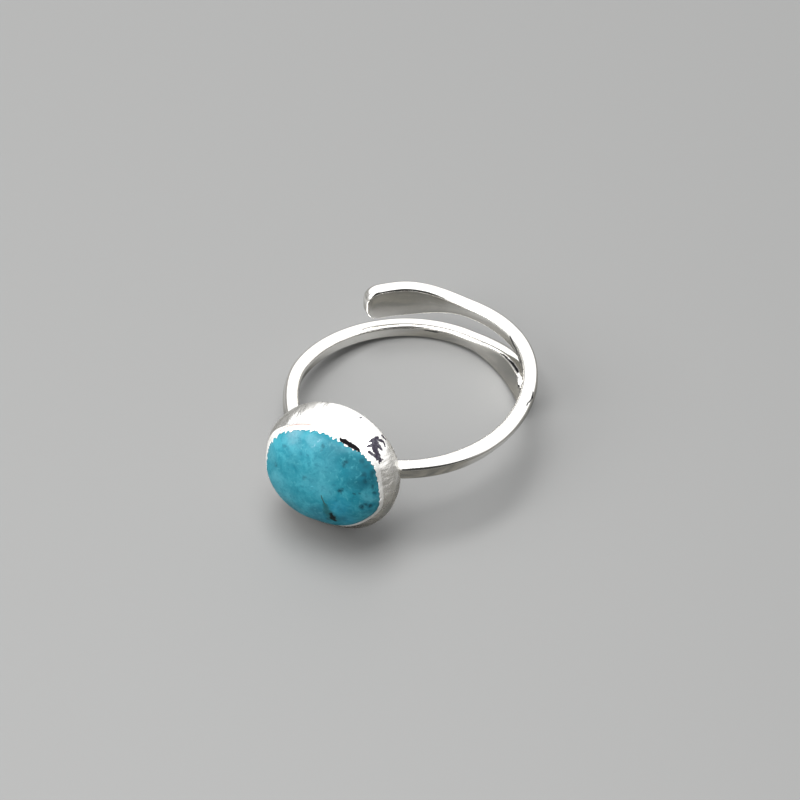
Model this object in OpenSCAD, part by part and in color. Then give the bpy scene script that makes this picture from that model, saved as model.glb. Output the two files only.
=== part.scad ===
// Adjustable ring: a wrapped square wire with two flattened ends and an oval stone in a cup.
// Shapes are worked out about the finger: z runs along it and the stone faces -y.
// The last step lays the ring on its side, on the three places that touch the floor.

/* [Band] */
// Radius of the wire's centre line
band_r = 9.4; // [8.9:0.1:10.4]
// Thickness of the wire, measured across the hoop
wire_w = 1.19; // [1:0.01:1.3]
// Height of the wire, measured along the finger
wire_h = 1.19; // [1:0.01:1.3]
// Radius on the wire's two lower corners
wire_corner_r = 0.22; // [0.1:0.01:0.4]
// Radius on its two upper corners
wire_crown_r = 0.36; // [0.2:0.01:0.48]

/* [Upper arm] */
// Angle from the stone to the tip
upper_end = 228; // [215:1:232]
// Quick climb beside the cup
upper_step = 0.43; // [0.4:0.01:0.7]
// Slow climb from the cup to the far side
upper_rise = 1.2; // [1:0.02:1.3]
// Outward bow of the arm where it passes over the other one
upper_bow = 0.4; // [0:0.05:0.5]
// Turn of the middle of the bow
bow_middle = 135; // [120:1:150]
// Turn from the middle of the bow to its ends
bow_half = 50; // [40:1:60]

/* [Lower arm] */
// Angle from the stone to the tip
lower_end = 239; // [220:1:242]
// Quick drop beside the cup
lower_step = 0.44; // [0.4:0.01:0.7]
// Slow drop from the cup to the far side
lower_rise = 1.18; // [1:0.02:1.4]

/* [Flattened ends] */
// Height of the flattened ends, measured along the finger
paddle_h = 2.9; // [2.3:0.05:3]
// Thickness of the flattened ends
paddle_t = 1.15; // [1:0.05:1.2]
// Angle over which the wire widens
paddle_spread = 37; // [24:1:50]
// Angle from the start of the widening to the tip
paddle_span = 55; // [52:1:64]
// Radius of the rounded tips
tip_r = 1.2; // [0.8:0.05:1.4]
// Rounding of the tips' end edge
tip_edge_r = 0.45; // [0.2:0.05:0.45]

/* [Cup] */
// Length of the rim, across the finger
rim_l = 10.62; // [9.8:0.02:11.2]
// Height of the rim, along the finger
rim_h = 8.52; // [7.8:0.02:9]
// Sideways offset of the rim from the back edge
rim_side = -0.07; // [-0.2:0.01:0.1]
// Length of the back edge
back_l = 11.02; // [10.4:0.02:11.6]
// Height of the back edge
back_h = 10.66; // [9.8:0.02:11]
// Distance from the finger's centre line to the rim
rim_reach = 11.95; // [11.8:0.05:12.3]
// How deep the back plate sits over the wire's outer face
back_sink = 0.3; // [0.2:0.05:0.4]
// Swell of the side wall between the rim and the back
wall_swell = 0.19; // [0:0.01:0.2]
// Rounding of the back edge
back_edge_r = 0.25; // [0.15:0.05:0.4]
// Thickness of the side wall at the foot of the stone
wall_t = 0.35; // [0.25:0.05:0.5]
// Angle by which the cup looks upward
cup_pitch = 12.8; // [9:0.1:15]
// Angle by which the cup looks to one side
cup_yaw = 1.4; // [0:0.1:3]
// Turn of the oval in its own plane
cup_turn = 2.7; // [0:0.1:5]
// Sideways offset of the cup from the hoop's middle
cup_side = -1.27; // [-1.6:0.01:-0.8]
// Offset of the cup along the finger
cup_lift = -0.15; // [-0.3:0.01:0.1]

/* [Stone] */
// Mean width of the metal lip seen around the stone
lip_w = 0.32; // [0.25:0.01:0.4]
// How much wider the lip is on the left than on average
lip_lean = 0.07; // [0:0.01:0.1]
// How much wider the lip is at the top and bottom than on average
lip_top = 0.05; // [0:0.01:0.08]
// Rise of the lip from the rim to the stone
lip_rise = 0.22; // [0.15:0.01:0.3]
// Height of the dome above the lip
dome_h = 1.96; // [1.5:0.02:2.4]
// Depth of the stone's base below the rim
stone_depth = 1.6; // [1.4:0.05:1.7]
// Gap between the stone and the cup
stone_gap = 0.05; // [0.04:0.01:0.08]
// Sharpness of the edges between the stone's soft facets
facet_edge = 60; // [30:5:100]

/* [Hidden] */

silver = [0.8, 0.8, 0.79];
turquoise = [0.2, 0.6, 0.65];

arc_step = 3;
corner_points = 4;
oval_points = 72;
wall_rows = 4;
side_rows = 4;
dome_rows = 18;

// Departures of the hand-bent hoop from a true circle, as waves round it
hoop_waves = [
    // waves, cosine, sine
    [2, -0.052, 0.067],
    [3, -0.065, -0.009],
];
// Places where the wire is twisted, so that its upper face leans outward
twists = [
    // turn of the middle, half of its length, lean outward
    [74, 42, 26],
    [-75, 50, -15],
];
// Places where the hoop is pressed in
hoop_dents = [
    // turn of the middle, half of its length, depth
    [64, 42, 0.15],
    [-62, 26, 0.18],
];
// Departures of the cup's outline from a true ellipse, as waves round the oval
oval_waves = [
    // waves, rim cosine, rim sine, back cosine, back sine
    [2, -0.008, 0.014, -0.002, -0.001],
    [3, -0.002, 0.010, 0.004, 0.007],
    [4, -0.016, -0.011, -0.008, -0.007],
    [5, -0.003, -0.003, -0.002, 0.010],
    [6, 0.002, -0.009, 0, 0],
    [7, 0.010, -0.008, 0, 0],
];
// Soft flat places ground on the stone
facets = [
    // angle round the oval, tilt from the rim plane, depth ground off
    [5, 32, 0.08],
    [60, 38, 0.08],
    [114, 37, 0.09],
    [185, 33, 0.08],
    [250, 36, 0.07],
    [305, 36, 0.08],
    [80, 5, 0.08],
];
// Reach of the wire's quick climb beside the cup, in degrees
step_reach = 20;
// Rounded corners stop just short of half the wire
corner_share = 0.98;
// Rounding of the rim's outer edge: how far down, in and up it reaches
rim_down = 0.08;
rim_in = 0.06;
rim_up = 0.03;

// Rows of the setting, from the middle of its back to the middle of its pocket.
// Height is above the rim plane, blend is 0 at the rim's oval and 1 at the back's oval.
back_depth = rim_reach - (band_r + wire_w / 2 - back_sink);
pocket_depth = stone_depth + stone_gap;
foot_blend = pocket_depth / back_depth;
foot_bevel = 0.1;
side_depths = [for (i = [0:side_rows - 1])
    lerp(lip_rise / 2, stone_depth - foot_bevel, i / (side_rows - 1))];
round_turns = [for (i = [0:oval_points - 1]) 360 * i / oval_points];

function lerp(a, b, k) = a + (b - a) * k;
function smooth(k) = let (c = max(0, min(1, k))) c * c * (3 - 2 * c);
function soft_step(x) = let (e = exp(2 * x)) (e - 1) / (e + 1);
function unit(v) = v / norm(v);
function sum(values) = [for (v = values) 1] * values;
function mean(pts) = [for (p = pts) 1 / len(pts)] * pts;
function round_in(d, r) = d >= r ? 0 : r - sqrt(r * r - (r - d) * (r - d));

// Wire: turn is counted from the stone, upward arm positive, lower arm negative
function wire_end(turn) = turn > 0 ? upper_end : lower_end;
function wire_z(turn) =
    let (
        up = turn > 0,
        step = up ? upper_step : lower_step,
        rise = up ? upper_rise : lower_rise,
        a = abs(turn)
    )
    sign(turn) * (step * soft_step(a / step_reach) + rise * (1 - cos(a)) / 2);
// Amount at a turn of changes that are greatest in their middle and fade to their ends
function swell(places, turn) =
    sum([for (p = places)
        let (off = turn - p[0])
        abs(off) < p[1] ? p[2] * pow(cos(90 * off / p[1]), 2) : 0]);
function wire_r(turn) =
    band_r + swell([[bow_middle, bow_half, upper_bow]], turn) - swell(hoop_dents, turn)
        + sum([for (w = hoop_waves) w[1] * cos(w[0] * turn) + w[2] * sin(w[0] * turn)]);
function lean(turn) = swell(twists, turn);
function widening(turn) =
    smooth((abs(turn) - (wire_end(turn) - paddle_span)) / paddle_spread);
function to_tip(turn) = (wire_end(turn) - abs(turn)) * band_r * PI / 180;

// One cross section of the wire: a rectangle with rounded corners
function section_points(turn) =
    let (
        wide = widening(turn),
        half_h = lerp(wire_h, paddle_h, wide) / 2 - round_in(to_tip(turn), tip_r),
        half_t = lerp(wire_w, paddle_t, wide) / 2 - round_in(to_tip(turn), tip_edge_r)
    )
    [for (corner = [0:3], i = [0:corner_points])
        let (
            a = -90 * corner - 90 * i / corner_points,
            sx = corner == 0 || corner == 3 ? 1 : -1,
            sz = corner < 2 ? -1 : 1,
            c = min(sz > 0 ? wire_crown_r : wire_corner_r, half_h, half_t) * corner_share,
            out = sx * (half_t - c) + c * cos(a),
            up = sz * (half_h - c) + c * sin(a),
            r = wire_r(turn) + out * cos(lean(turn)) + up * sin(lean(turn)),
            z = wire_z(turn) + up * cos(lean(turn)) - out * sin(lean(turn)),
            at = turn - 90
        )
        [r * cos(at), r * sin(at), z]];

// Turns at which sections stand: even steps, and finer ones over the rounded tips
tip_turns = [0.05, 0.2, 0.6, 1.2, 2, 3, 4.5, 6];
tip_margin = 1.5;
function between(lo, hi) =
    let (n = ceil((hi - lo) / arc_step))
    [for (i = [0:n]) lerp(lo, hi, i / n)];
tip_last = tip_turns[len(tip_turns) - 1];
turns = concat(
    [for (d = tip_turns) d - lower_end],
    between(tip_last + tip_margin - lower_end, upper_end - tip_last - tip_margin),
    [for (i = [1:len(tip_turns)]) upper_end - tip_turns[len(tip_turns) - i]]
);
wire_rows = [for (t = turns) section_points(t)];

// Oval outlines of the cup and the stone
function oval_wave(t, blend) =
    1 + sum([for (w = oval_waves)
        lerp(w[1], w[3], blend) * cos(w[0] * t) + lerp(w[2], w[4], blend) * sin(w[0] * t)]);
function oval(t, blend, inset) =
    let (
        a = lerp(rim_l, back_l, blend) / 2 - inset,
        b = lerp(rim_h, back_h, blend) / 2 - inset,
        wave = oval_wave(t, blend)
    )
    [a * cos(t) * wave + rim_side * (1 - blend), b * sin(t) * wave];
// Width of the lip at an angle round the oval
function lip(t) = lip_w - lip_lean * cos(t) - lip_top * cos(2 * t);

// Puts a point of the setting, x and z in the rim plane and height above it, in its place
function set_point(x, z, height) =
    let (
        x1 = x * cos(cup_turn) + z * sin(cup_turn),
        z1 = z * cos(cup_turn) - x * sin(cup_turn),
        y1 = band_r - rim_reach - height,
        y2 = y1 * cos(cup_pitch) + z1 * sin(cup_pitch),
        z2 = z1 * cos(cup_pitch) - y1 * sin(cup_pitch)
    )
    [x1 * cos(cup_yaw) + y2 * sin(cup_yaw) + cup_side,
     y2 * cos(cup_yaw) - x1 * sin(cup_yaw) - band_r,
     z2 + cup_lift];
// Rows round the setting; share is how much of the lip's width is added to the inset
function oval_row(blend, inset, height, share = 0) =
    [for (t = round_turns)
        let (p = oval(t, blend, inset + share * lip(t)))
        set_point(p[0], p[1], height)];
// Outline of the stone's sloping side at a depth below the rim
function side_row(depth, inset) =
    let (k = (depth - lip_rise / 2) / (pocket_depth - lip_rise / 2))
    oval_row(foot_blend * k, k * wall_t - (1 - k) * stone_gap + inset, -depth, 1 - k);

// How much a point of the dome is drawn in by the facets
function facet_scale(p) =
    let (reach = [rim_l / 2 - lip_w, rim_h / 2 - lip_w, dome_h])
    pow(1 + sum([for (f = facets)
        let (
            n = [sin(f[1]) * cos(f[0]), sin(f[1]) * sin(f[0]), cos(f[1])],
            away = norm([n[0] * reach[0], n[1] * reach[1], n[2] * reach[2]]) - f[2]
        )
        pow(max(0, n * p) / away, facet_edge)]), -1 / facet_edge);
function dome_point(x, z, height) =
    let (p = [x, z, height] * facet_scale([x, z, height]))
    set_point(p[0], p[1], lip_rise + p[2]);
// Row of the dome, at an angle of rise from the lip to the top
function dome_row(rise) =
    [for (t = round_turns)
        let (p = oval(t, 0, lip(t)) * cos(rise))
        dome_point(p[0], p[1], dome_h * sin(rise))];

cup_rows = concat(
    [for (i = [0:2])
        let (a = 90 * i / 2)
        oval_row(1, back_edge_r * (1 - sin(a)), back_edge_r * (1 - cos(a)) - back_depth)],
    [for (i = [1:wall_rows])
        let (k = i / wall_rows)
        oval_row(1 - k, -wall_swell * sin(180 * k),
            lerp(back_edge_r - back_depth, -rim_down, k))],
    [oval_row(0, rim_in, rim_up),
     oval_row(0, -stone_gap, lip_rise, 1),
     each [for (depth = side_depths) side_row(depth, 0)],
     side_row(pocket_depth, 0)]
);
cup_back = set_point(0, 0, -back_depth);
cup_floor = set_point(0, 0, -pocket_depth);

stone_rows = concat(
    [side_row(stone_depth, stone_gap + foot_bevel)],
    [for (i = [1:side_rows]) side_row(side_depths[side_rows - i], stone_gap)],
    [for (i = [0:dome_rows - 1]) dome_row(90 * i / dome_rows)]
);
stone_base = set_point(0, 0, -stone_depth);
stone_top = dome_point(0, 0, dome_h);

// Floor: the plane through the lowest points of the cup, the lower arm and its tip
function farthest(pts, d) =
    let (most = max([for (p = pts) p * d]))
    [for (p = pts) if (p * d == most) p][0];
function down_through(a, b, c) =
    let (n = unit(cross(b - a, c - a)))
    n[2] < 0 ? n : -n;
cup_edge = [for (i = [0:2]) each cup_rows[i]];
far_turn = -120;
tip_span = 38;
tip_turn = tip_span - lower_end;
arm_back = [for (i = [0:len(turns) - 1])
    if (turns[i] > tip_turn && turns[i] < far_turn) each wire_rows[i]];
arm_tip = [for (i = [0:len(turns) - 1]) if (turns[i] < tip_turn) each wire_rows[i]];
function settle(down, tries) =
    tries == 0 ? down :
    settle(down_through(farthest(cup_edge, down), farthest(arm_back, down),
        farthest(arm_tip, down)), tries - 1);
guess_down = [-0.06, 0.141, -0.988];
down = settle(guess_down, 6);

// Lays the ring on that floor, with the stone still facing -y
lay_z = -down;
lay_y = unit([0, 1, 0] - lay_z * lay_z[1]);
lay_x = cross(lay_y, lay_z);
lay = [lay_x, lay_y, lay_z];
all_points = [for (row = concat(wire_rows, cup_rows, stone_rows)) each [for (p = row) lay * p]];
low = [for (i = [0:2]) min([for (p = all_points) p[i]])];
high = [for (i = [0:2]) max([for (p = all_points) p[i]])];
middle = [(low[0] + high[0]) / 2, (low[1] + high[1]) / 2, low[2]];

// Closed skin over rows of points, with a point in the middle of each end
module skin(rows, first, last) {
    n = len(rows[0]);
    m = len(rows);
    end = n * m + 1;
    points = concat([first], [for (row = rows) each row], [last]);
    ends = [for (i = [0:n - 1])
        let (j = (i + 1) % n)
        each [[0, 1 + i, 1 + j], [end, end - n + j, end - n + i]]];
    sides = [for (r = [0:m - 2], i = [0:n - 1])
        let (
            j = (i + 1) % n,
            a = 1 + r * n + i,
            b = 1 + r * n + j
        )
        each [[a, a + n, b], [b, a + n, b + n]]];
    polyhedron([for (p = points) lay * p - middle], concat(ends, sides), convexity = 8);
}

module wire() {
    skin(wire_rows, mean(wire_rows[0]), mean(wire_rows[len(wire_rows) - 1]));
}

module cup() {
    skin(cup_rows, cup_back, cup_floor);
}

module band_and_cup() {
    color(silver)
        union() {
            wire();
            cup();
        }
}

module stone() {
    color(turquoise)
        skin(stone_rows, stone_base, stone_top);
}

band_and_cup();
stone();
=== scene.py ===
"""Dresses the wrap ring: polished silver wire, a cup with a ragged plated edge, a turquoise.

Shapes are worked out in millimetres about the finger, z along it and the stone facing -y,
by the same rules as the solids. The last step of each shape lays it on the floor, in metres.
Named angles are in degrees. A turn goes round the hoop from the stone, positive along the
upper arm and negative along the lower one.
"""
import math

import bpy
import numpy as np
from mathutils import Matrix, Vector, noise


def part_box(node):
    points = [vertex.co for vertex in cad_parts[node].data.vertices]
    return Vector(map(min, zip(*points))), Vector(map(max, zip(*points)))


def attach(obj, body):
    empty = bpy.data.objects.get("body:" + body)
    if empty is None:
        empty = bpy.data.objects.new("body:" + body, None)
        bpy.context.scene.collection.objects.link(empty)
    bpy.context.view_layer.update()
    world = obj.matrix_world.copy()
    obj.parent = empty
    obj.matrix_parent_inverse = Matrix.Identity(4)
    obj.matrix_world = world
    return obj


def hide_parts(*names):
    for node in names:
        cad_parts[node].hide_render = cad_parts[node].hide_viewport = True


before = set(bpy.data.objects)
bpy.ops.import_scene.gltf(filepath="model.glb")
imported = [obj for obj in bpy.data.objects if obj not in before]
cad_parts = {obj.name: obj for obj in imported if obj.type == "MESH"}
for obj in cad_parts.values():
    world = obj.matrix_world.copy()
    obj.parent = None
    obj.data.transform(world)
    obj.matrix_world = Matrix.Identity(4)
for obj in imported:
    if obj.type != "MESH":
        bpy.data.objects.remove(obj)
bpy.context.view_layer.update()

MM = 0.001

# Wire
BAND_R = 9.4  # radius of its centre line
WIRE_W = 1.19  # thickness, across the hoop
WIRE_H = 1.19  # height, along the finger
WIRE_CORNER_R = 0.22  # radius on its lower corners
WIRE_CROWN_R = 0.36  # radius on its upper corners
CORNER_SHARE = 0.98  # corners stop just short of half the wire
# Corners of the wire's section, outward and upward
CORNERS = ((1, -1), (-1, -1), (-1, 1), (1, 1))
# Departures of the hoop from a circle: waves round it, cosine, sine
HOOP_WAVES = ((2, -0.052, 0.067), (3, -0.065, -0.009))
# Places where the wire is twisted: turn of the middle, half of its length, lean outward
TWISTS = ((74, 42, 26), (-75, 50, -15))
# Places where the hoop is pressed in: turn of the middle, half of its length, depth
HOOP_DENTS = ((64, 42, 0.15), (-62, 26, 0.18))
# Place where the upper arm bows out over the other: turn of the middle, half length, height
BOWS = ((135, 50, 0.4),)
# Arms: turn of the tip, quick step beside the cup, slow rise from there to the far side
UPPER = {"end": 228, "step": 0.43, "rise": 1.2}
LOWER = {"end": 239, "step": 0.44, "rise": 1.18}
STEP_REACH = 20  # turn over which the quick step is made

# Flattened ends
PADDLE_H = 2.9  # height, along the finger
PADDLE_T = 1.15  # thickness
PADDLE_SPREAD = 37  # turn over which the wire widens
PADDLE_SPAN = 55  # turn from the start of the widening to the tip
TIP_R = 1.2  # radius of the rounded tip
TIP_EDGE_R = 0.45  # rounding of the tip's end edge

# Cup
RIM_L = 10.62  # length of the rim, across the finger
RIM_H = 8.52  # height of the rim, along the finger
RIM_SIDE = -0.07  # sideways offset of the rim from the back
BACK_L = 11.02  # length of the back
BACK_H = 10.66  # height of the back
RIM_REACH = 11.95  # distance from the finger's centre line to the rim
BACK_SINK = 0.3  # how deep the back sits over the wire's outer face
WALL_SWELL = 0.19  # swell of the side wall
BACK_EDGE_R = 0.25  # rounding of the back's edge
WALL_T = 0.35  # thickness of the wall at the stone's foot
CUP_PITCH = 12.8  # angle by which the cup looks upward
CUP_YAW = 1.4  # angle by which it looks to one side
CUP_TURN = 2.7  # turn of the oval in its own plane
CUP_SIDE = -1.27  # sideways offset from the hoop's middle
CUP_LIFT = -0.15  # offset along the finger
# Departures of the cup's outline from an ellipse: waves round it, rim cosine and sine,
# back cosine and sine
OVAL_WAVES = ((2, -0.008, 0.014, -0.002, -0.001), (3, -0.002, 0.010, 0.004, 0.007),
              (4, -0.016, -0.011, -0.008, -0.007), (5, -0.003, -0.003, -0.002, 0.010),
              (6, 0.002, -0.009, 0, 0), (7, 0.010, -0.008, 0, 0))
# Rounding of the rim's outer edge
RIM_DOWN = 0.08  # how far it reaches down the wall
RIM_IN = 0.06  # how far in
RIM_UP = 0.03  # how far above the rim plane
RIM_HALF_IN = 0.015  # halfway round, how far in
RIM_HALF_DOWN = 0.02  # and how far below the rim plane

# Stone
LIP_W = 0.32  # mean width of the metal lip round it
LIP_LEAN = 0.07  # how much wider the lip is on the left
LIP_TOP = 0.05  # how much wider it is at the top and bottom
LIP_RISE = 0.22  # rise of the lip from the rim to the stone
DOME_H = 1.96  # height of the dome above the lip
STONE_DEPTH = 1.6  # depth of the base below the rim
STONE_GAP = 0.05  # gap between the stone and its pocket
FOOT_BEVEL = 0.1  # bevel round the base

# Soft flat places ground on the stone: angle round the oval, tilt from the rim plane,
# depth ground off
FACETS = ((5, 32, 0.08), (60, 38, 0.08), (114, 37, 0.09), (185, 33, 0.08),
          (250, 36, 0.07), (305, 36, 0.08), (80, 5, 0.08))
FACET_EDGE = 60  # sharpness of the edges between them
# Plating that climbs the stone's flank: angle round the oval, height above the lip,
# depth of the teeth
PLATING_CLIMB = ((0, 0.06, 0.2), (31, 0.05, 0.2), (52, 0.2, 0.2), (60, 0.28, 0.2),
                 (70, 0.26, 0.2), (80, 0.16, 0.25), (92, 0.07, 0.3), (100, 0.17, 0.3),
                 (110, 0.08, 0.3), (135, 0.08, 0.3), (160, 0.42, 0.4), (185, 0.45, 0.4),
                 (210, 0.25, 0.3), (250, 0.03, 0.15), (320, 0.04, 0.15))
# Noise in the plating's height: wavelength, seed, strength
COARSE_TEETH = (0.3, 3.0, 1.0)
FINE_TEETH = (0.14, 8.0, 0.7)
BROAD_WAVES = (0.6, 5.0, 0.5)
PLATING_LIMIT = 0.9  # greatest height above the lip
PLATING_T = 0.045  # how far its outside stands off the stone
PLATING_GAP = 0.012  # how far its inside does
PLATING_NOSE = 0.01  # rise in radians of its thin edge past its sides
NOSE_SHARE = 0.6  # how far that edge stands off, as a share of the outside

# Depths below the rim, and the share of the way from the rim's oval to the back's at the
# pocket's foot
BACK_DEPTH = RIM_REACH - (BAND_R + WIRE_W / 2 - BACK_SINK)
POCKET_DEPTH = STONE_DEPTH + STONE_GAP
FOOT_BLEND = POCKET_DEPTH / BACK_DEPTH

# Resting places: the cup's back edge, and two stretches of the lower arm, about its tip and
# on from there to the far side
TIP_START = 0.5  # turn from the tip to the start of its stretch
TIP_SPAN = 38  # turn from the tip to the end of its stretch
FAR_TURN = -120  # turn at which the far side's stretch ends
ROUGH_DOWN = (-0.055, 0.141, -0.988)  # first guess at the way down
FLOOR_ROUNDS = 6  # times that the guess is bettered

# Fineness of the meshes. Near a tip the wire's sections stand at these turns from it, and
# from a start further on they are evenly spaced
TIP_ROWS = (0.02, 0.08, 0.2, 0.4, 0.7, 1.1, 1.6, 2.2, 2.9, 3.7, 4.6, 5.6, 6.6)
EVEN_ROWS_START = 7.4
ROW_STEP = 1.2
CORNER_POINTS = 6
OVAL_POINTS = 720
BACK_EDGE_ROWS = 4
WALL_ROWS = 12
SIDE_ROWS = 4
DOME_ROWS = 90
# Fineness at which the lowest points are looked for
COARSE_CORNER_POINTS = 4
COARSE_OVAL = np.radians(np.arange(0, 360, 5))

# Camera: angles about the hoop's own axis, and where the hoop's centre falls in the picture
VIEW_AZIMUTH = 26.56
VIEW_ELEVATION = 42.26
VIEW_ROLL = -0.49
VIEW_DISTANCE = 400.0
PICTURE = 800  # pixels across
PIXELS_PER_MM = 12.678
HOOP_PIXEL = (408.3, 391.3)
SENSOR = 36.0
CLIP_NEAR = 0.01  # in metres
CLIP_FAR = 10  # in metres


def lerp(a, b, k):
    return a + (b - a) * k


def smooth(k):
    """Smooth step from 0 to 1."""
    k = np.clip(k, 0, 1)
    return k * k * (3 - 2 * k)


def unit(v):
    return v / np.linalg.norm(v)


def round_in(d, r):
    """How far a rounded end of radius r draws in at a distance d from its tip."""
    left = np.clip(r - d, 0, None)
    return r - np.sqrt(np.clip(r * r - left * left, 0, None))


def arm(turn):
    """The rule of the arm on which a turn lies."""
    return UPPER if turn > 0 else LOWER


def wire_z(turn):
    """Height of the wire's centre line along the finger."""
    a, rule = abs(turn), arm(turn)
    climb = rule["step"] * math.tanh(a / STEP_REACH)
    climb += rule["rise"] * (1 - math.cos(math.radians(a))) / 2
    return math.copysign(climb, turn)


def swell(places, turn):
    """Amount at a turn of changes that are greatest in their middle and fade to their ends."""
    total = 0.0
    for middle, half, amount in places:
        if abs(turn - middle) < half:
            total += amount * math.cos(math.radians((turn - middle) * 90 / half)) ** 2
    return total


def wire_r(turn):
    """Distance of the wire's centre line from the finger's."""
    r = BAND_R
    for waves, along_cos, along_sin in HOOP_WAVES:
        a = math.radians(waves * turn)
        r += along_cos * math.cos(a) + along_sin * math.sin(a)
    return r + swell(BOWS, turn) - swell(HOOP_DENTS, turn)


def half_sizes(turn):
    """Half of the wire's height and thickness at a turn, drawn in over its rounded tips."""
    end = arm(turn)["end"]
    wide = float(smooth((abs(turn) - (end - PADDLE_SPAN)) / PADDLE_SPREAD))
    to_tip = (end - abs(turn)) * BAND_R * math.pi / 180
    return (lerp(WIRE_H, PADDLE_H, wide) / 2 - round_in(to_tip, TIP_R),
            lerp(WIRE_W, PADDLE_T, wide) / 2 - round_in(to_tip, TIP_EDGE_R))


def wire_section(turn, corner_points):
    """One cross section of the wire: a rectangle with rounded corners."""
    half_h, half_t = half_sizes(turn)
    at = math.radians(turn - 90)
    lean = math.radians(swell(TWISTS, turn))
    points = []
    for corner, (sx, sz) in enumerate(CORNERS):
        c = min(WIRE_CROWN_R if sz > 0 else WIRE_CORNER_R, half_h, half_t) * CORNER_SHARE
        for i in range(corner_points + 1):
            a = -math.pi / 2 * (corner + i / corner_points)
            out = sx * (half_t - c) + c * math.cos(a)
            up = sz * (half_h - c) + c * math.sin(a)
            r = wire_r(turn) + out * math.cos(lean) + up * math.sin(lean)
            z = wire_z(turn) + up * math.cos(lean) - out * math.sin(lean)
            points.append((r * math.cos(at), r * math.sin(at), z))
    return np.array(points)


def oval(t, blend, inset):
    """The cup's outline: 0 is the rim's oval and 1 the back's, t an array of angles."""
    wave = 1.0
    for waves, rim_cos, rim_sin, back_cos, back_sin in OVAL_WAVES:
        wave = wave + lerp(rim_cos, back_cos, blend) * np.cos(waves * t)
        wave = wave + lerp(rim_sin, back_sin, blend) * np.sin(waves * t)
    a = lerp(RIM_L, BACK_L, blend) / 2 - inset
    b = lerp(RIM_H, BACK_H, blend) / 2 - inset
    return a * np.cos(t) * wave + RIM_SIDE * (1 - blend), b * np.sin(t) * wave


def lip(t):
    """Width of the metal lip at an angle round the oval."""
    return LIP_W - LIP_LEAN * np.cos(t) - LIP_TOP * np.cos(2 * t)


def set_point(x, z, height):
    """From the rim plane, x and z in it and height above it, to the hoop's frame."""
    turn, pitch, yaw = (math.radians(d) for d in (CUP_TURN, CUP_PITCH, CUP_YAW))
    turned_x = x * math.cos(turn) + z * math.sin(turn)
    turned_z = z * math.cos(turn) - x * math.sin(turn)
    ahead = BAND_R - RIM_REACH - height
    pitched_y = ahead * math.cos(pitch) + turned_z * math.sin(pitch)
    pitched_z = turned_z * math.cos(pitch) - ahead * math.sin(pitch)
    return np.stack([turned_x * math.cos(yaw) + pitched_y * math.sin(yaw) + CUP_SIDE,
                     pitched_y * math.cos(yaw) - turned_x * math.sin(yaw) - BAND_R,
                     pitched_z + CUP_LIFT], -1)


def oval_row(t, blend, inset, height):
    """Row of points round the cup, at angles t and at a height above the rim plane."""
    return set_point(*oval(t, blend, inset), height)


def back_edge_row(t, a):
    """Row on the rounded back edge, a quarter turn from the flat back to the wall."""
    return oval_row(t, 1, BACK_EDGE_R * (1 - math.sin(a)),
                    BACK_EDGE_R * (1 - math.cos(a)) - BACK_DEPTH)


def lay_on_floor():
    """Turn that lays the hoop's frame on the floor, on the places where the solids touch it."""
    low = -LOWER["end"]
    edge = [back_edge_row(COARSE_OVAL, a) for a in (0, math.pi / 4, math.pi / 2)]
    far = [wire_section(turn, COARSE_CORNER_POINTS)
           for turn in np.arange(low + TIP_SPAN, FAR_TURN)]
    tip = [wire_section(turn, COARSE_CORNER_POINTS)
           for turn in np.arange(low + TIP_START, low + TIP_SPAN)]
    down = np.array(ROUGH_DOWN)
    for _ in range(FLOOR_ROUNDS):
        a, b, c = (max(np.concatenate(part), key=lambda p: p @ down)
                   for part in (edge, far, tip))
        down = unit(np.cross(b - a, c - a))
        down = down if down[2] < 0 else -down
    z = -down
    y = unit(np.array([0, 1, 0]) - z * z[1])
    return np.array([np.cross(y, z), y, z])


LAY = lay_on_floor()


def fine_rows():
    """Sections of the wire from the lower tip to the upper one, close together at the tips."""
    low, high = -LOWER["end"], UPPER["end"]
    first, last = low + EVEN_ROWS_START, high - EVEN_ROWS_START
    turns = [low + d for d in TIP_ROWS]
    turns += list(np.linspace(first, last, int((last - first) / ROW_STEP)))
    turns += [high - d for d in reversed(TIP_ROWS)]
    return [wire_section(turn, CORNER_POINTS) for turn in turns]


WIRE_ROWS = fine_rows()


def shift_to_cad():
    """The shift that brings the laid wire and cup onto the box of their solid."""
    low_corner, high_corner = (np.array(c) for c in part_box("band_and_cup"))
    pts = np.concatenate(WIRE_ROWS) @ LAY.T
    back = oval_row(COARSE_OVAL, 1, 0, BACK_EDGE_R - BACK_DEPTH) @ LAY.T
    far_y = pts[:, 1].max()
    side_x = (pts[:, 0].min() + pts[:, 0].max()) / 2
    floor = min(pts[:, 2].min(), back[:, 2].min())
    return np.array([side_x - (low_corner[0] + high_corner[0]) / 2 / MM,
                     far_y - high_corner[1] / MM,
                     floor - low_corner[2] / MM])


SHIFT = shift_to_cad()


def to_floor(points):
    """Hoop frame in millimetres to the row's frame in metres."""
    return (np.asarray(points) @ LAY.T - SHIFT) * MM


def add_object(name, data):
    """A new object in the scene."""
    made = bpy.data.objects.new(name, data)
    bpy.context.scene.collection.objects.link(made)
    return made


# Camera
def view_axes():
    """The camera's right, its up and the way back towards it, in the hoop's frame."""
    a, e, roll = (math.radians(d) for d in (VIEW_AZIMUTH, VIEW_ELEVATION, VIEW_ROLL))
    back = np.array([math.sin(a) * math.cos(e), -math.cos(a) * math.cos(e), math.sin(e)])
    right = np.array([math.cos(a), math.sin(a), 0])
    up = np.cross(back, right)
    return (right * math.cos(roll) + up * math.sin(roll),
            up * math.cos(roll) - right * math.sin(roll), back)


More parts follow.
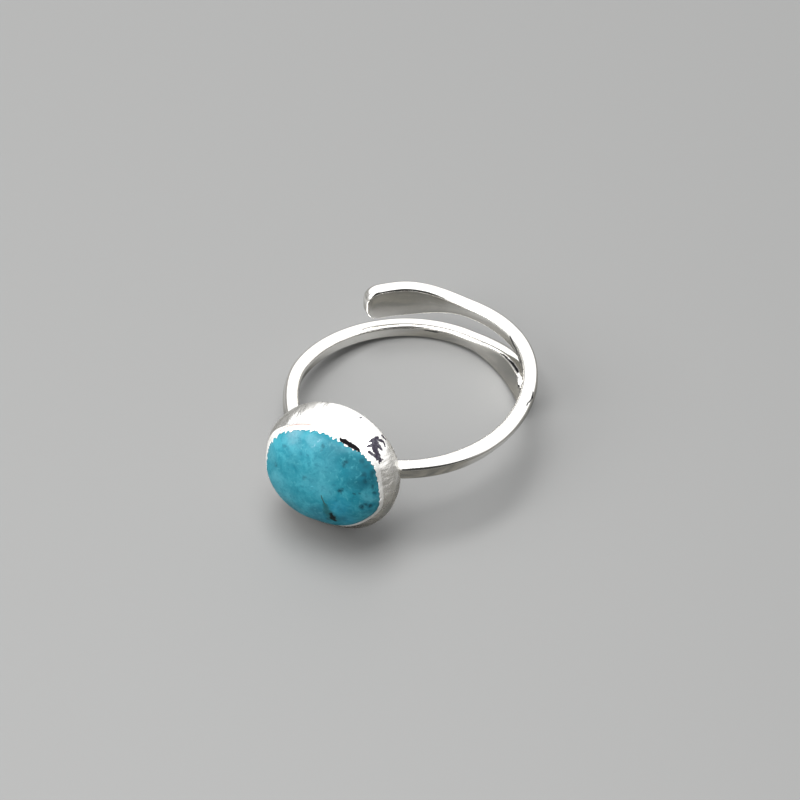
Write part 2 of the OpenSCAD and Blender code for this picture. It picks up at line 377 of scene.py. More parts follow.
def make_camera():
    """Makes the camera and gives the direction towards it."""
    right, up, back = view_axes()
    data = bpy.data.cameras.new("camera")
    data.sensor_width = SENSOR
    data.lens = PIXELS_PER_MM * VIEW_DISTANCE * SENSOR / PICTURE
    data.shift_x = (PICTURE / 2 - HOOP_PIXEL[0]) / PICTURE
    data.shift_y = (HOOP_PIXEL[1] - PICTURE / 2) / PICTURE
    data.clip_start = CLIP_NEAR
    data.clip_end = CLIP_FAR
    camera = add_object("camera", data)
    turn = Matrix(np.stack([LAY @ right, LAY @ up, LAY @ back], 1)).to_4x4()
    camera.matrix_world = Matrix.Translation(to_floor(back * VIEW_DISTANCE)) @ turn
    bpy.context.scene.camera = camera
    return LAY @ back


toward_camera = make_camera()


# Meshes
def skin(name, rows, first, last):
    """Closed smooth mesh over rows of points, with a point in the middle of each end."""
    size, count = len(rows[0]), len(rows)
    points = np.concatenate([[first], np.concatenate(rows), [last]])
    last_row = 1 + size * (count - 1)
    faces = []
    for i in range(size):
        j = (i + 1) % size
        faces.append((0, 1 + j, 1 + i))
        faces.append((last_row + size, last_row + i, last_row + j))
        for start in range(1, last_row, size):
            a, b = start + i, start + j
            faces.append((a, b, b + size, a + size))
    mesh = bpy.data.meshes.new(name)
    mesh.from_pydata([tuple(p) for p in to_floor(points)], [], faces)
    mesh.validate()
    mesh.shade_smooth()
    return add_object(name, mesh)


ROUND = np.linspace(0, 2 * math.pi, OVAL_POINTS, endpoint=False)
SIDE_DEPTHS = np.linspace(LIP_RISE / 2, STONE_DEPTH - FOOT_BEVEL, SIDE_ROWS)


def side_row(depth, inset):
    """Outline of the stone's sloping side at a depth below the rim."""
    k = (depth - LIP_RISE / 2) / (POCKET_DEPTH - LIP_RISE / 2)
    inset = inset + lerp(lip(ROUND) - STONE_GAP, WALL_T, k)
    return oval_row(ROUND, FOOT_BLEND * k, inset, -depth)


def facet_scale(p):
    """How far each point of the dome is drawn in by the soft facets."""
    a, b = RIM_L / 2 - LIP_W, RIM_H / 2 - LIP_W
    total = np.ones(len(p))
    for towards, tilt, cut in FACETS:
        t, e = math.radians(towards), math.radians(tilt)
        normal = np.array([math.sin(e) * math.cos(t), math.sin(e) * math.sin(t), math.cos(e)])
        reach = np.linalg.norm(normal * (a, b, DOME_H)) - cut
        total += (np.clip(p @ normal, 0, None) / reach) ** FACET_EDGE
    return total ** (-1 / FACET_EDGE)


def dome_row(rise, lift=0.0):
    """Row of the dome at a rise in radians, 0 at the lip, and lifted off the stone."""
    x, z = oval(ROUND, 0, lip(ROUND))
    rise = np.broadcast_to(rise, ROUND.shape)
    p = np.stack([x * np.cos(rise), z * np.cos(rise), DOME_H * np.sin(rise)], -1)
    p = p * facet_scale(p)[:, None]
    out = p / np.array([RIM_L / 2, RIM_H / 2, DOME_H]) ** 2
    p = p + lift * out / np.linalg.norm(out, axis=1)[:, None]
    return set_point(p[:, 0], p[:, 1], LIP_RISE + p[:, 2])


def round_noise(wavelength, seed, strength):
    """Smooth noise round the oval, with a wavelength in millimetres."""
    k = RIM_L / 2 / wavelength
    return strength * np.array([noise.noise(Vector((k * math.cos(t), k * math.sin(t), seed)))
                                for t in ROUND])


def plating_climb():
    """Height of the ragged plating above the lip, round the oval."""
    angles, climbs, teeth = zip(*PLATING_CLIMB)
    climb = np.interp(np.degrees(ROUND), angles, climbs, period=360)
    depth = np.interp(np.degrees(ROUND), angles, teeth, period=360)
    ragged = depth * (round_noise(*COARSE_TEETH) + round_noise(*FINE_TEETH))
    waved = climb * (1 + round_noise(*BROAD_WAVES))
    return np.clip(waved + ragged, 0.0, PLATING_LIMIT)


def make_wire():
    return skin("silver_wire", WIRE_ROWS, WIRE_ROWS[0].mean(0), WIRE_ROWS[-1].mean(0))


def wall_rows():
    """Rows of the cup from the flat back over its edge and up the swelling wall."""
    rows = [back_edge_row(ROUND, math.pi / 2 * i / BACK_EDGE_ROWS)
            for i in range(BACK_EDGE_ROWS + 1)]
    for i in range(1, WALL_ROWS + 1):
        k = i / WALL_ROWS
        rows.append(oval_row(ROUND, 1 - k, -WALL_SWELL * math.sin(math.pi * k),
                             lerp(BACK_EDGE_R - BACK_DEPTH, -RIM_DOWN, k)))
    return rows


def rim_rows():
    """Rows over the rim's outer edge and along the lip."""
    return [oval_row(ROUND, 0, RIM_HALF_IN, -RIM_HALF_DOWN),
            oval_row(ROUND, 0, RIM_IN, RIM_UP),
            oval_row(ROUND, 0, lip(ROUND) / 2, (RIM_UP + LIP_RISE) / 2)]


def plating_rows():
    """Rows of the ragged plating: up the stone, round its thin edge and back down under it."""
    edge = np.arcsin(plating_climb() / DOME_H)
    rows = [dome_row(edge * k, PLATING_T) for k in (0, 0.4, 0.8, 1.0)]
    rows.append(dome_row(edge + PLATING_NOSE, NOSE_SHARE * PLATING_T))
    return rows + [dome_row(edge * k, PLATING_GAP) for k in (1.0, 0.5, 0)]


def pocket_rows():
    """Rows down the side of the stone's pocket."""
    return [side_row(depth, 0) for depth in (*SIDE_DEPTHS, POCKET_DEPTH)]


def make_cup():
    rows = wall_rows() + rim_rows() + plating_rows() + pocket_rows()
    return skin("silver_cup", rows, set_point(0, 0, -BACK_DEPTH), set_point(0, 0, -POCKET_DEPTH))


def make_stone():
    rows = [side_row(STONE_DEPTH, STONE_GAP + FOOT_BEVEL)]
    rows += [side_row(depth, STONE_GAP) for depth in reversed(SIDE_DEPTHS)]
    rows += [dome_row(math.pi / 2 * i / DOME_ROWS) for i in range(DOME_ROWS)]
    return skin("turquoise_stone", rows, set_point(0, 0, -STONE_DEPTH),
                set_point(0, 0, LIP_RISE + DOME_H))


# Materials
class Shading:
    """A node tree under construction, with short names for the usual nodes."""

    def __init__(self, tree, shader="Principled BSDF"):
        self.nodes, self.links = tree.nodes, tree.links
        self.shader = self.nodes.get(shader)

    def node(self, kind, **settings):
        made = self.nodes.new("ShaderNode" + kind)
        for name, value in settings.items():
            setattr(made, name, value)
        return made

    def put(self, socket, value):
        """Sets a socket to a number or a colour, or links it to another socket."""
        if isinstance(value, bpy.types.NodeSocket):
            self.links.new(value, socket)
        else:
            socket.default_value = value

    def fill(self, made, *values):
        """Sets or links the first inputs of a node, in their order."""
        for socket, value in zip(made.inputs, values):
            self.put(socket, value)
        return made

    def surface(self, name, value):
        """Sets or links an input of the shader itself."""
        self.put(self.shader.inputs[name], value)

    def math(self, operation, *values):
        return self.fill(self.node("Math", operation=operation), *values).outputs[0]

    def vector(self, operation, *values):
        made = self.fill(self.node("VectorMath", operation=operation), *values)
        scalar = operation in ("DOT_PRODUCT", "DISTANCE", "LENGTH")
        return made.outputs["Value" if scalar else "Vector"]

    def noise_node(self, where, scale, detail=2.0, roughness=0.5, distortion=0.0):
        """Noise, its scale in grains for each unit of the place."""
        made = self.node("TexNoise")
        for name, value in (("Vector", where), ("Scale", scale), ("Detail", detail),
                            ("Roughness", roughness), ("Distortion", distortion)):
            self.put(made.inputs[name], value)
        return made

    def noise(self, where, **grain):
        return self.noise_node(where, **grain).outputs["Fac"]

    def warped(self, where, reach, **grain):
        """A place shaken by noise, to fray the edges of marks."""
        shake = self.noise_node(where, **grain).outputs["Color"]
        from_middle = self.vector("SUBTRACT", shake, (0.5, 0.5, 0.5))
        return self.vector("ADD", where, self.vector("MULTIPLY", from_middle, (reach,) * 3))

    def ramp(self, value, low, high, to_low=0.0, to_high=1.0):
        """Smooth step from to_low to to_high as the value goes from low to high."""
        made = self.node("MapRange", interpolation_type="SMOOTHSTEP")
        return self.fill(made, value, low, high, to_low, to_high).outputs[0]

    def curve(self, value, table):
        """Straight lines through a table of angles from -180 to 180, and levels up to 1."""
        made = self.node("ValToRGB")
        stops = made.color_ramp.elements
        stops.remove(stops[1])
        for i, (angle, level) in enumerate(table):
            share = 0.5 + angle / 360
            stop = stops[0] if i == 0 else stops.new(share)
            stop.position = share
            stop.color = (level, level, level, 1)
        self.put(made.inputs[0], value)
        return made.outputs[0]

    def mix(self, share, a, b):
        """Colour a where the share is 0, and b where it is 1."""
        made = self.node("Mix", data_type="RGBA")
        for name, value in (("Factor", share), ("A", a), ("B", b)):
            sockets = [s for s in made.inputs if s.name == name and s.enabled]
            self.put(sockets[0], value)
        return [s for s in made.outputs if s.enabled][0]

    def spot(self, where, middle, radius, soft):
        """1 near a place, falling smoothly to 0 at a radius."""
        away = self.vector("DISTANCE", where, middle)
        return self.ramp(away, radius * soft, radius, 1.0, 0.0)

    def streak(self, where, start, end, soft):
        """1 near a line between two places with radii, falling smoothly to 0."""
        *first, start_radius = start
        *last, end_radius = end
        line = Vector(last) - Vector(first)
        from_start = self.vector("SUBTRACT", where, first)
        along = self.vector("DOT_PRODUCT", from_start, line / line.length_squared)
        share = self.math("MINIMUM", self.math("MAXIMUM", along, 0.0), 1.0)
        widening = self.math("MULTIPLY", share, end_radius - start_radius)
        radius = self.math("ADD", start_radius, widening)
        nearest = self.node("VectorMath", operation="SCALE")
        self.put(nearest.inputs[0], line)
        self.put(nearest.inputs["Scale"], share)
        away = self.vector("DISTANCE", from_start, nearest.outputs[0])
        return self.ramp(self.math("DIVIDE", away, radius), soft, 1.0, 1.0, 0.0)

    def path(self, where, points, soft):
        """1 near the lines that join several places, falling smoothly to 0."""
        return self.largest([self.streak(where, a, b, soft)
                             for a, b in zip(points, points[1:])])

    def largest(self, values):
        most = values[0]
        for value in values[1:]:
            most = self.math("MAXIMUM", most, value)
        return most


def new_material(name):
    """A new node material, and the means to shade it."""
    material = bpy.data.materials.new(name)
    material.use_nodes = True
    return material, Shading(material.node_tree)


def setting_place(shade):
    """The shaded point in the setting's own millimetres: across, along the finger, height."""
    origin = to_floor(set_point(0.0, 0.0, 0.0))
    axes = [(to_floor(set_point(*p)) - origin) / MM for p in np.eye(3)]
    where = shade.node("TexCoord").outputs["Object"]
    made = shade.node("CombineXYZ")
    for socket, axis in zip(made.inputs, axes):
        along = shade.vector("DOT_PRODUCT", where, tuple(axis / MM))
        shade.put(socket, shade.math("SUBTRACT", along, float(origin @ axis) / MM))
    return made.outputs[0]


# Marks are given as across, along the finger, height above the rim, and radius.
# A dark strip on the lip above the stone, painted shade in the groove between the lip and the
# stone
PAINTED_SHADE_STRIP = ((0.86, 3.82, 0.2, 0.1), (1.3, 3.78, 0.22, 0.24), (1.8, 3.72, 0.25, 0.28),
              (2.28, 3.62, 0.28, 0.26), (2.68, 3.48, 0.3, 0.13))
# Strokes of the tarnished patch on the cup's wall, to the right of the strip
ROUGH_PATCH = (
    ((3.3, 4.26, -1.35, 0.16), (3.25, 4.12, -0.85, 0.4), (3.46, 3.94, -0.74, 0.5),
     (3.5, 3.85, -0.6, 0.46), (3.62, 3.66, -0.42, 0.34), (3.76, 3.56, -0.38, 0.3),
     (3.97, 3.38, -0.36, 0.26), (4.25, 2.99, -0.26, 0.24), (4.25, 2.88, -0.13, 0.12)),
    ((3.44, 4.01, -0.84, 0.3), (3.67, 3.86, -0.8, 0.32), (3.99, 3.68, -0.9, 0.18)),
    ((3.28, 4.21, -1.15, 0.18), (3.53, 4.06, -1.25, 0.22), (3.79, 3.97, -1.5, 0.2),
     (4.05, 3.72, -1.3, 0.1)),
    ((3.46, 4.16, -1.83, 0.18), (3.7, 4.0, -1.9, 0.17), (3.87, 3.87, -1.95, 0.08)),
    ((2.93, 4.09, -0.56, 0.1), (3.14, 4.1, -0.72, 0.16)),
    ((3.1, 3.85, -0.25, 0.14), (3.27, 3.92, -0.53, 0.22)),
    ((3.31, 3.6, -0.02, 0.1), (3.49, 3.51, -0.06, 0.16), (3.74, 3.4, -0.12, 0.18),
     (4.03, 3.15, -0.14, 0.16)),
    ((4.33, 3.1, -0.48, 0.1), (4.36, 3.06, -0.5, 0.1)),
    ((1.45, 5.06, -1.74, 0.12), (1.5, 5.04, -1.85, 0.08)),
)
# Where the wire is scratched or stained in its hollows; the fourth mark is painted shade that
# cuts short a highlight
WIRE_MARKS_AND_SHADE = (
    ((5.95, 6.12, -18.65, 0.1), (6.41, 5.83, -18.28, 0.2), (6.9, 5.54, -17.93, 0.22),
     (7.36, 5.15, -17.58, 0.12)),
    ((5.03, 3.77, -19.4, 0.06), (5.77, 3.92, -18.95, 0.12), (6.45, 3.96, -18.47, 0.18),
     (7.03, 3.96, -18.02, 0.24), (7.53, 3.92, -17.55, 0.2)),
    ((7.48, 3.71, -17.36, 0.1), (7.8, 3.66, -17.1, 0.16)),
    ((8.03, 3.4, -16.74, 0.08), (8.16, 3.3, -16.67, 0.18)),
    ((10.4, 4.96, -14.06, 0.08), (10.56, 4.79, -13.62, 0.15), (10.63, 4.67, -12.98, 0.1),
     (10.64, 4.56, -12.45, 0.05)),
    ((-2.05, 2.7, -20.15, 0.05), (-1.26, 2.76, -20.38, 0.12), (-0.36, 2.86, -20.55, 0.05)),
    ((-6.26, 5.4, -17.28, 0.1), (-6.03, 5.74, -17.27, 0.16), (-5.81, 5.95, -17.31, 0.08)),
)
# A reddish line along the lip, to the left of the strip
BLUSH_LINE = ((-4.25, 2.4, 0.15, 0.05), (-3.98, 2.75, 0.07, 0.06), (-3.54, 3.12, 0.02, 0.08),
              (-3.06, 3.41, -0.01, 0.09), (-2.48, 3.69, -0.01, 0.09), (-1.89, 3.91, 0.01, 0.09),
              (-1.28, 4.05, 0.04, 0.05))
SILVER = (0.92, 0.905, 0.87, 1)
DULL_SILVER = (0.78, 0.76, 0.71, 1)
TARNISH = (0.05, 0.042, 0.062, 1)
WORN_TARNISH = (0.13, 0.125, 0.145, 1)
# Near-black of the wire's dark marks and of the painted shade in the strip
MARK_AND_SHADE_BLACK = (0.004, 0.003, 0.004, 1)
BLUSH = (0.5, 0.3, 0.26, 1)
# Roughness of the silver, least and most
WIRE_SHINE = (0.06, 0.14)
CUP_SHINE = (0.2, 0.34)
# What dark marks and frosted places lose of the metal's look, and add to its roughness
DARK_LOSS = 0.75
FROST_LOSS = 0.65
DARK_ROUGHNESS = 0.3
FROST_ROUGHNESS = 0.2
# Gloss of clean silver and of dark marks
CLEAN_GLOSS = 0.5
DARK_GLOSS = 0.12
# Heights above the rim between which the lip's frosted look sets in
LIP_FROST = (-0.12, 0.05)
BLUSH_STRENGTH = 0.9
FINE_DENTS = 0.12  # height of the fine dents, as a share of the long ones


def silver_look(shade, place, dark, shine, frost):
    """Silver with smears, less metallic where dark or frosted; gives its clean colour."""
    smear = shade.noise(place, scale=0.9, detail=4.0, roughness=0.6)
    dull = shade.ramp(smear, 0.45, 0.75, to_high=0.25)
    unfrosted = shade.math("SUBTRACT", 1.0, shade.math("MULTIPLY", frost, FROST_LOSS))
    unmarked = shade.math("SUBTRACT", 1.0, shade.math("MULTIPLY", dark, DARK_LOSS))
    shade.surface("Metallic", shade.math("MULTIPLY", unfrosted, unmarked))
    shade.surface("Specular IOR Level", shade.ramp(dark, 0.0, 1.0, CLEAN_GLOSS, DARK_GLOSS))
    rough = shade.math("ADD", shade.ramp(smear, 0.3, 0.7, *shine),
                       shade.math("MULTIPLY", dark, DARK_ROUGHNESS))
    rough = shade.math("ADD", rough, shade.math("MULTIPLY", frost, FROST_ROUGHNESS))
    shade.surface("Roughness", rough)
    return shade.mix(dull, SILVER, DULL_SILVER)


def bump(shade, strength, reach, height):
    """Bumps that stand as high as reach, in millimetres, where the height is 1."""
    made = shade.node("Bump")
    shade.put(made.inputs["Strength"], strength)
    shade.put(made.inputs["Distance"], reach * MM)
    shade.put(made.inputs["Height"], height)
    shade.surface("Normal", made.outputs[0])


def wire_material():
    material, shade = new_material("polished_silver")
    place = setting_place(shade)
    frayed = shade.warped(place, reach=0.25, scale=2.0, detail=3.0)
    # Dark marks, the fourth of them painted shade over a highlight
    dark = shade.largest([shade.path(frayed, mark, soft=0.3) for mark in WIRE_MARKS_AND_SHADE])
    clean = silver_look(shade, place, dark, WIRE_SHINE, frost=0.0)
    shade.surface("Base Color", shade.mix(dark, clean, MARK_AND_SHADE_BLACK))
    dents = shade.noise(place, scale=0.55, detail=3.0, roughness=0.45)
    bump(shade, strength=0.6, reach=0.05, height=dents)
    return material


def rough_patch(shade, place, frayed):
    """The tarnished patch: its marks, broken up by a stretched noise."""
    marks = shade.largest([shade.path(frayed, mark, soft=0.35) for mark in ROUGH_PATCH])
    stretched = shade.vector("MULTIPLY", place, (1.0, 2.6, 1.0))
    holes = shade.noise(stretched, scale=2.6, detail=5.0, roughness=0.75, distortion=0.8)
    return shade.ramp(shade.math("MULTIPLY", marks, holes), 0.26, 0.34)


def cup_colour(shade, place, clean, patch, shade_strip):
    """The cup's silver with its blushed line, its tarnished patch and its strip of painted
    shade.
    """
    blush = shade.math("MULTIPLY", shade.path(place, BLUSH_LINE, soft=0.2), BLUSH_STRENGTH)
    worn = shade.ramp(shade.noise(place, scale=5.0, detail=3.0), 0.45, 0.65)
    tarnish = shade.mix(worn, TARNISH, WORN_TARNISH)
    colour = shade.mix(patch, shade.mix(blush, clean, BLUSH), tarnish)
    return shade.mix(shade_strip, colour, MARK_AND_SHADE_BLACK)


def cup_dents(shade, place):
    """Height of the cup's dents, long ones along the wall with fine ones on them."""
    stretched = shade.vector("MULTIPLY", place, (1.0, 1.0, 0.45))
    fine = shade.math("MULTIPLY", shade.noise(place, scale=5.0), FINE_DENTS)
    return shade.math("ADD", shade.noise(stretched, scale=1.1, detail=3.0), fine)


def cup_material():
    material, shade = new_material("plated_silver")
    place = setting_place(shade)
    frayed = shade.warped(place, reach=0.3, scale=3.0, detail=3.0)
    # Painted shade in the groove above the stone
    shade_strip = shade.path(frayed, PAINTED_SHADE_STRIP, soft=0.75)
    patch = rough_patch(shade, place, frayed)
    dark = shade.math("MAXIMUM", shade_strip, patch)
    height = shade.vector("DOT_PRODUCT", place, (0, 0, 1))
    clean = silver_look(shade, place, dark, CUP_SHINE, shade.ramp(height, *LIP_FROST))
    shade.surface("Base Color", cup_colour(shade, place, clean, patch, shade_strip))
    bump(shade, strength=0.8, reach=0.14, height=cup_dents(shade, place))
    return material


# Dark specks of the stone: across, along the finger, height, radius, darkness
SPECKS = ((2.11, 2.78, 1.25, 0.3, 1.0), (2.05, 2.56, 1.42, 0.26, 0.9),
          (-0.02, 3.32, 1.19, 0.3, 0.7), (0.0, 3.1, 1.35, 0.22, 0.5),
          (3.67, 2.14, 1.06, 0.34, 0.8), (3.57, 2.74, 0.7, 0.4, 0.5),
          (4.18, 2.29, 0.57, 0.4, 0.7), (3.16, 3.02, 0.67, 0.4, 0.6),
          (3.87, 1.71, 1.14, 0.34, 0.8), (4.39, 1.21, 0.82, 0.3, 0.7),
          (2.28, 0.52, 1.93, 0.3, 1.0), (2.4, 0.8, 1.93, 0.22, 0.8),
          (3.33, 0.52, 1.61, 0.2, 0.8), (3.67, 0.62, 1.44, 0.2, 0.8),
          (4.6, 0.7, 0.74, 0.34, 0.8), (4.26, -0.25, 1.15, 0.3, 0.9),
          (4.54, -0.42, 0.96, 0.34, 1.0), (4.03, -0.55, 1.3, 0.34, 1.0),
          (-0.8, 0.5, 2.09, 0.34, 0.5), (-3.53, 0.27, 1.57, 0.34, 0.5),
          (-3.21, 2.05, 1.32, 0.3, 0.4), (1.48, -2.64, 1.53, 0.3, 0.5))
# A dark crack runs down into a greenish stain with a dark notch in it
CRACK = ((0.85, -0.45, 2.12, 0.05), (1.12, -0.93, 2.07, 0.09), (1.3, -1.2, 2.02, 0.07))
STAIN = ((1.26, -1.2, 2.02, 0.35), (1.5, -1.8, 1.88, 0.65), (1.9, -2.4, 1.58, 0.7))
NOTCH = ((1.74, -1.95, 1.78, 0.2), (1.9, -2.3, 1.62, 0.38), (2.02, -2.6, 1.43, 0.26))
# A fine pale vein at the top of the stone
VEIN = ((-0.5, 3.6, 0.9, 0.06), (-0.72, 3.0, 1.35, 0.08), (-0.9, 2.5, 1.62, 0.05))
PALE = (0.1, 0.39, 0.475, 1)
# Blue of the painted highlight at the top left of the stone
PAINTED_HIGHLIGHT_BLUE = (0.27, 0.425, 0.495, 1)
DEEP = (0.007, 0.125, 0.185, 1)
# Dusk blue, also the colour of the painted shade over the upper middle
DUSK = (0.012, 0.138, 0.185, 1)
BLUE = (0.02, 0.27, 0.42, 1)
# Broad clouds: across, along the finger, height, radius, strength, tint. The sky-blue ones at
# the top left are a painted highlight and the large dusk one over the upper middle is painted
# shade; the others are clouds of tint, darker towards the right and the bottom.
CLOUDS_AND_PAINTED_LIGHT = ((-2.8, 3.0, 0.9, 1.3, 0.5, PAINTED_HIGHLIGHT_BLUE), (-1.0, 3.3, 0.9, 1.0, 0.25, PAINTED_HIGHLIGHT_BLUE),
          (1.4, 2.6, 1.6, 2.6, 0.45, DUSK), (-2.0, 1.4, 1.7, 1.2, 0.38, DUSK),
          (0.6, 1.7, 2.0, 1.3, 0.35, PALE), (-3.2, -0.8, 1.5, 1.5, 0.6, PALE),
          (-4.2, 0.8, 1.0, 1.2, 0.4, PALE), (-3.2, -2.2, 0.8, 1.5, 0.85, PALE),
          (-0.2, 0.6, 2.2, 1.1, 0.4, PALE), (0.9, 0.2, 2.2, 1.3, 0.55, PALE),
          (2.2, -1.2, 1.8, 1.5, 0.6, BLUE), (3.0, -2.4, 1.0, 1.3, 0.6, BLUE),
          (0.9, 3.2, 0.9, 1.5, 0.5, DUSK), (2.0, 3.1, 0.9, 1.3, 0.6, DUSK),
          (3.6, 2.0, 1.2, 2.1, 0.92, DUSK), (3.2, 3.0, 0.6, 1.6, 0.7, DUSK),
          (3.9, 1.7, 1.1, 1.1, 0.75, DEEP), (4.3, -0.5, 1.1, 0.9, 0.6, DEEP),
          (4.5, 0.2, 0.9, 0.9, 0.5, PALE), (0.5, -3.1, 0.6, 2.2, 0.9, DEEP),
          (-1.8, -3.0, 0.5, 1.5, 0.6, DUSK), (2.3, -3.4, 0.2, 1.5, 0.7, DEEP),
          (-1.9, -1.6, 1.85, 0.9, 0.45, PALE), (3.7, 2.3, 0.9, 0.9, 0.5, DUSK),
          (0.6, -2.2, 1.8, 1.0, 0.7, DEEP), (2.6, -2.3, 1.3, 0.8, 0.55, DEEP))
# The two blues below the clouds, and the colours of the grain and the marks
STONE_DARK = (0.013, 0.225, 0.3, 1)
STONE_LIGHT = (0.05, 0.335, 0.42, 1)
GRAIN_DARK = (0.012, 0.15, 0.215, 1)
GRAIN_LIGHT = (0.1, 0.42, 0.49, 1)
SPECK_DARK = (0.008, 0.06, 0.085, 1)
VEIN_PALE = (0.3, 0.5, 0.62, 1)
STAIN_GREEN = (0.016, 0.1, 0.1, 1)
CRACK_DARK = (0.04, 0.1, 0.085, 1)
NOTCH_DARK = (0.005, 0.016, 0.018, 1)
VEIN_STRENGTH = 0.5
STAIN_STRENGTH = 0.75
STONE_GLOSS = 0.2
STONE_ROUGHNESS = (0.36, 0.52)


def stone_clouds_and_painted_light(shade, place):
    """Two blues wandering into each other, under broad clouds of other tints, of painted
    highlight and of painted shade.
    """
    loose = shade.warped(place, reach=1.7, scale=0.8, detail=4.0)
    drift = shade.noise(loose, scale=0.8, detail=5.0, roughness=0.6, distortion=0.5)
    colour = shade.mix(shade.ramp(drift, 0.35, 0.65), STONE_DARK, STONE_LIGHT)
    # Clouds of tint, among them a painted highlight and painted shade
    for *middle, radius, strength, tint in CLOUDS_AND_PAINTED_LIGHT:
        share = shade.math("MULTIPLY", shade.spot(loose, middle, radius, soft=0.0), strength)
        colour = shade.mix(share, colour, tint)
    return colour


def stone_grain(shade, colour, fine):
    """Dark and light grain over a colour, where the fine noise is high and low."""
    colour = shade.mix(shade.ramp(fine, 0.52, 0.7, to_high=0.5), colour, GRAIN_DARK)
    return shade.mix(shade.ramp(fine, 0.47, 0.3, to_high=0.45), colour, GRAIN_LIGHT)


def stone_marks(shade, colour, frayed):
    """Dark specks, the pale vein and the greenish stain over a colour."""
    specks = [shade.math("MULTIPLY", shade.spot(frayed, middle, radius, soft=0.0), darkness)
              for *middle, radius, darkness in SPECKS]
    colour = shade.mix(shade.largest(specks), colour, SPECK_DARK)
    vein = shade.math("MULTIPLY", shade.path(frayed, VEIN, soft=0.1), VEIN_STRENGTH)
    colour = shade.mix(vein, colour, VEIN_PALE)
    stain = shade.math("MULTIPLY", shade.path(frayed, STAIN, soft=0.1), STAIN_STRENGTH)
    return shade.mix(stain, colour, STAIN_GREEN)


def turquoise_material():
    material, shade = new_material("turquoise")
    place = setting_place(shade)
    frayed = shade.warped(place, reach=0.5, scale=3.0, detail=4.0)
    less_frayed = shade.warped(place, reach=0.2, scale=3.0, detail=3.0)
    fine = shade.noise(shade.warped(place, reach=0.8, scale=1.5),
                       scale=2.6, detail=6.0, roughness=0.64, distortion=0.3)
    colour = stone_grain(shade, stone_clouds_and_painted_light(shade, place), fine)
    colour = stone_marks(shade, colour, frayed)
    crack = shade.path(less_frayed, CRACK, soft=0.3)
    notch = shade.path(frayed, NOTCH, soft=0.4)
    colour = shade.mix(crack, colour, CRACK_DARK)
    shade.surface("Base Color", shade.mix(notch, colour, NOTCH_DARK))
    shade.surface("Roughness", shade.ramp(fine, 0.3, 0.8, *STONE_ROUGHNESS))
    shade.surface("Specular IOR Level", STONE_GLOSS)
    uneven = shade.noise(place, scale=1.1, detail=4.0)
    hollow = shade.math("MAXIMUM", crack, notch)
    bump(shade, strength=0.6, reach=0.04, height=shade.math("SUBTRACT", uneven, hollow))
    return material


# Floor, in metres
PALE_FLOOR = (0.255, 0.255, 0.251, 1)
FLOOR_ROUGHNESS = 0.45
FLOOR_REACH = 2.0
# The darker mottled ground that the silver alone sees, and the distances over which it ends
GROUND_DARK = (0.06, 0.06, 0.056, 1)
GROUND_LIGHT = (0.125, 0.12, 0.105, 1)
GROUND_EDGE = (0.045, 0.13)
# Pale places of that ground, painted so that the silver mirrors them as lighter reflections:
# middle, radius
PAINTED_REFLECTION_GLEAMS = (((0.0115, 0.0005, 0.0), 0.0065), ((-0.0055, 0.006, 0.0), 0.005),
                 ((-0.0148, 0.0016, 0.0), 0.0075), ((-0.015, 0.0088, 0.0), 0.0075))


def mirrored_ground(shade, place):
    """What the silver mirrors below it: a mottled grey around the ring, with pale places painted
    in as lighter reflections.
    """
    stretched = shade.vector("MULTIPLY", place, (1.0, 2.0, 1.0))
    mottle = shade.noise(stretched, scale=220.0, detail=3.0, roughness=0.6)
    grey = shade.mix(shade.ramp(mottle, 0.35, 0.65), GROUND_DARK, GROUND_LIGHT)
    # Pale spots, painted for lighter reflections on the silver
    painted_gleam = shade.largest([shade.spot(place, *spot, soft=0.2) for spot in PAINTED_REFLECTION_GLEAMS])
    grey = shade.mix(painted_gleam, grey, PALE_FLOOR)
    return shade.mix(shade.ramp(shade.vector("LENGTH", place), *GROUND_EDGE), grey, PALE_FLOOR)


def floor_material():
    """Pale to the eye, and darker near the ring to the silver that mirrors it."""
    material, shade = new_material("pale_floor")
    ground = mirrored_ground(shade, shade.node("TexCoord").outputs["Object"])
    mirrored = shade.node("LightPath").outputs["Is Glossy Ray"]
    shade.surface("Base Color", shade.mix(mirrored, PALE_FLOOR, ground))
    shade.surface("Roughness", FLOOR_ROUGHNESS)
    return material


def make_floor():
    mesh = bpy.data.meshes.new("floor")
    corners = [(x * FLOOR_REACH, y * FLOOR_REACH, 0)
               for x, y in ((-1, -1), (1, -1), (1, 1), (-1, 1))]
    mesh.from_pydata(corners, [], [(0, 1, 2, 3)])
    floor = add_object("floor", mesh)
    floor.data.materials.append(floor_material())


# Light, with sizes in metres
SOFTBOX_SIZE = 0.35
SOFTBOX_DISTANCE = 0.5


def softbox(name, azimuth, elevation, power):
    """A soft square light, placed by its azimuth from the camera's and its elevation."""
    base = math.atan2(toward_camera[0], -toward_camera[1])
    a, e = base + math.radians(azimuth), math.radians(elevation)
    way = Vector((math.sin(a) * math.cos(e), -math.cos(a) * math.cos(e), math.sin(e)))
    data = bpy.data.lights.new(name, "AREA")
    data.shape = "SQUARE"
    data.size = SOFTBOX_SIZE
    data.energy = power
    light = add_object(name, data)
    light.location = way * SOFTBOX_DISTANCE
    light.rotation_euler = way.to_track_quat("Z", "Y").to_euler()


TENT = (1.3, 1.31, 1.33, 1)
ROOM = (1.0, 0.98, 0.95, 1)
SOFT_FILL = (0.36, 0.365, 0.37, 1)
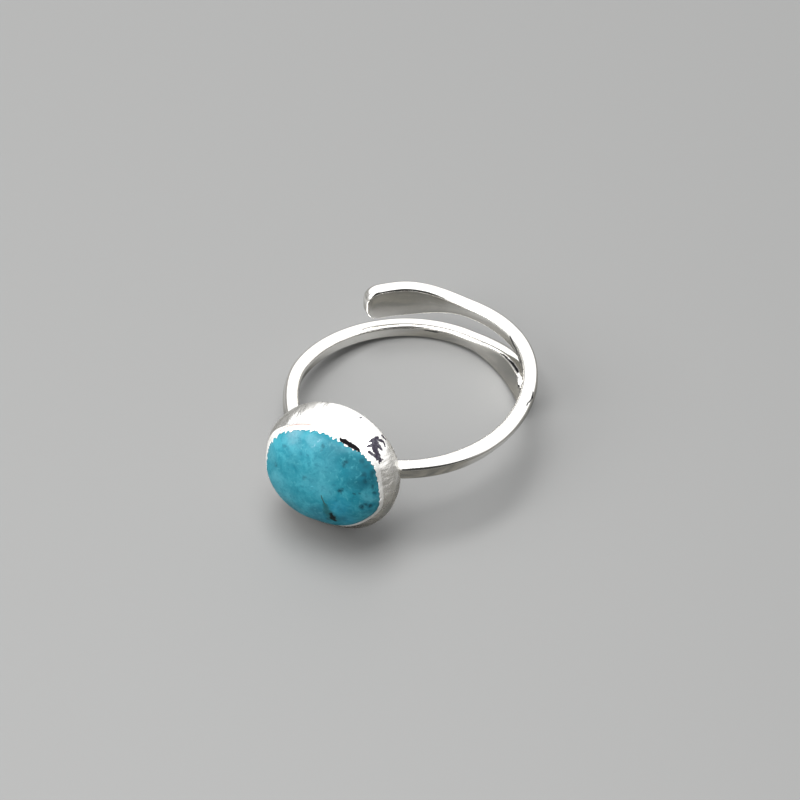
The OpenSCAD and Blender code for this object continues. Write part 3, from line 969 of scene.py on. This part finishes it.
# Where the white tent starts: azimuth from the camera's in degrees, sine of the elevation
TENT_EDGE = ((-180, 0.06), (-158, 0.23), (-138, 0.26), (-105, 0.1), (-60, 0.0), (-35, 0.15),
             (-15, 0.75), (0, 0.87), (22, 0.75), (40, 0.5), (62, 0.16), (98, 0.1),
             (150, 0.0), (180, 0.06))
TENT_SOFT = 0.06  # how softly it starts, to each side of that sine
# How bright the room below it is: azimuth from the camera's, share of the room's colour
ROOM_LEVEL = ((-180, 0.5), (-158, 0.45), (-138, 0.3), (-65, 0.3), (-45, 0.06), (45, 0.04),
              (62, 0.8), (130, 0.8), (160, 0.5), (180, 0.5))
BLACK = (0, 0, 0, 1)


def mirrored_sky(shade):
    """What the silver mirrors above it: a white tent over a room, dark behind the camera."""
    way = shade.node("TexCoord").outputs["Generated"]
    height = shade.vector("DOT_PRODUCT", way, (0, 0, 1))
    flat = unit(np.array([toward_camera[0], toward_camera[1], 0]))
    ahead = shade.vector("DOT_PRODUCT", way, tuple(flat))
    aside = shade.vector("DOT_PRODUCT", way, (-flat[1], flat[0], 0))
    azimuth = shade.math("ARCTAN2", aside, ahead)
    round_share = shade.math("ADD", shade.math("DIVIDE", azimuth, 2 * math.pi), 0.5)
    over = shade.math("SUBTRACT", height, shade.curve(round_share, TENT_EDGE))
    room = shade.mix(shade.curve(round_share, ROOM_LEVEL), BLACK, ROOM)
    return shade.mix(shade.ramp(over, -TENT_SOFT, TENT_SOFT), room, TENT)


def make_sky():
    """An even soft fill for all that isn't mirrored, and the tent for what is."""
    world = bpy.data.worlds.new("studio")
    world.use_nodes = True
    shade = Shading(world.node_tree, "Background")
    mirrored = shade.node("LightPath").outputs["Is Glossy Ray"]
    shade.surface("Color", shade.mix(mirrored, SOFT_FILL, mirrored_sky(shade)))
    bpy.context.scene.world = world


def make_light():
    make_sky()
    softbox("top_softbox", azimuth=-150, elevation=79, power=2.5)
    softbox("left_softbox", azimuth=-75, elevation=40, power=1.5)


make_floor()
make_light()
bpy.context.scene.view_settings.view_transform = "Standard"

wire, cup, stone = make_wire(), make_cup(), make_stone()
for piece, silver in ((wire, wire_material()), (cup, cup_material())):
    piece.data.materials.append(silver)
    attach(piece, "root")
    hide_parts("band_and_cup")
stone.data.materials.append(turquoise_material())
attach(stone, "root")
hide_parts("stone")
